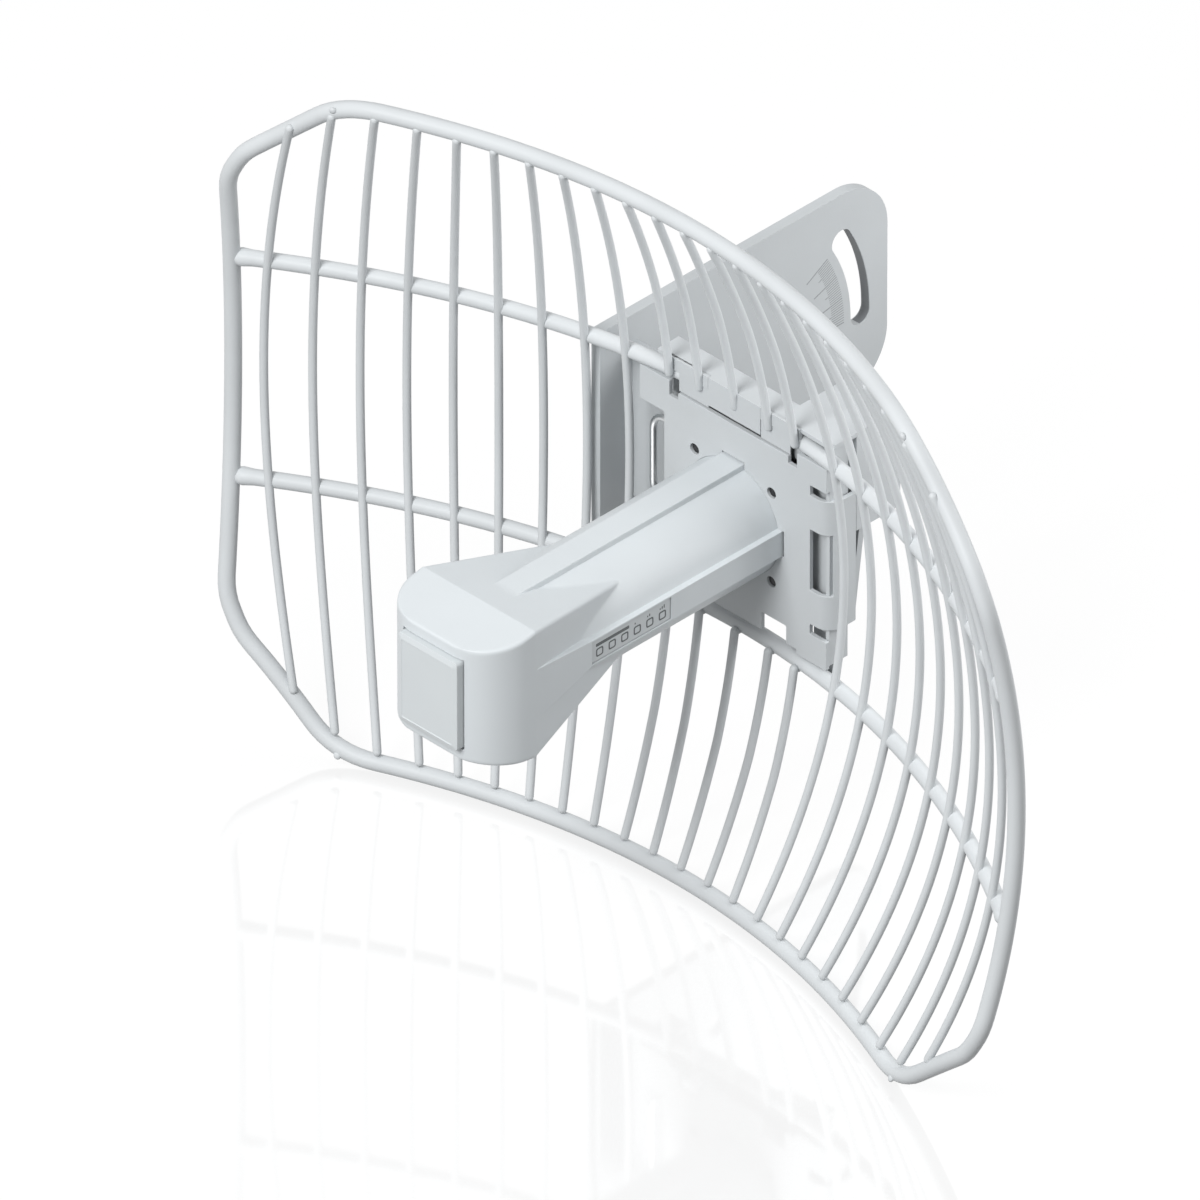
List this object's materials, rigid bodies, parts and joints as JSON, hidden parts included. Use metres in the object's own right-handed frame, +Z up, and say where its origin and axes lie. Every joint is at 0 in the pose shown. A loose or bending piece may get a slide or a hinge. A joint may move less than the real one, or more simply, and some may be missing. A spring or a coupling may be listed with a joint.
{
  "type": "outdoor wireless bridge",
  "caption": "Wire grid dish antenna with a radio in its plug-in feed, on a bracket with a slotted elevation wing for a pole clamp.",
  "frame": {"origin": "on the wing's clamp face, between the pivot hole and the elevation slot, level with the pivot hole", "axes": "+X out of the clamp face and along the dish's width, -Y the way the dish looks, +Z up"},
  "size_m": [0.3626, 0.2723, 0.2619],
  "materials": {
    "powder_coat": "satin",
    "bracket_coat": "satin",
    "feed_plastic": "fine satin",
    "badge_plastic": "matte",
    "socket_plastic": "matte",
    "label_film": "satin",
    "clear_resin": "clear",
    "steel": "zinc plated",
    "circuit_board": "solder mask",
    "tinplate": "tinned",
    "brass": "satin",
    "aluminium": "stamped",
    "black_plastic": "matte",
    "seal_rubber": "matte"
  },
  "bodies": {
    "bridge": {"rim": "powder_coat", "rod_upper": "powder_coat", "rod_lower": "powder_coat", "wire_01": "powder_coat", "wire_02": "powder_coat", "wire_03": "powder_coat", "wire_04": "powder_coat", "wire_05": "powder_coat", "wire_06": "powder_coat", "wire_07": "powder_coat", "wire_08": "powder_coat", "wire_09": "powder_coat", "wire_10_lower": "powder_coat", "wire_10_upper": "powder_coat", "wire_11_lower": "powder_coat", "wire_11_upper": "powder_coat", "wire_12_lower": "powder_coat", "wire_12_upper": "powder_coat", "wire_13_lower": "powder_coat", "wire_13_upper": "powder_coat", "wire_14_lower": "powder_coat", "wire_14_upper": "powder_coat", "wire_15": "powder_coat", "wire_16": "powder_coat", "wire_17": "powder_coat", "wire_18": "powder_coat", "wire_19": "powder_coat", "wire_20": "powder_coat", "wire_21": "powder_coat", "wire_22": "powder_coat", "wire_23": "powder_coat", "feed_plate": "bracket_coat", "rear_bracket": "bracket_coat", "feed_socket": "socket_plastic", "socket_screw_1": "steel", "socket_screw_2": "steel", "socket_screw_3": "steel", "socket_screw_4": "steel", "feed_housing": "feed_plastic", "badge_panel": "badge_plastic", "indicator_label": "label_film", "light_pipe": "clear_resin", "radio_board": "circuit_board", "rf_shield": "tinplate", "network_jack": "tinplate", "dipole": "brass", "feed_line": "brass", "sub_reflector": "aluminium", "rear_bulkhead": "black_plastic", "port_seal": "seal_rubber"},
    "clip": {"release_clip": "steel"},
    "cover": {"port_cover": "feed_plastic"},
    "button": {"reset_button": "black_plastic"}
  },
  "joints": [
    {"name": "clip_slide", "type": "slide", "parent": "bridge", "child": "clip", "axis": [-1, 0, 0], "range_m": [0, 0.004]},
    {"name": "cover_slide", "type": "slide", "parent": "bridge", "child": "cover", "axis": [0, 1, 0], "range_m": [0, 0.02]},
    {"name": "reset_press", "type": "slide", "parent": "bridge", "child": "button", "axis": [0, -1, 0], "range_m": [0, 0.0008], "stiffness_N_per_m": 400}
  ]
}
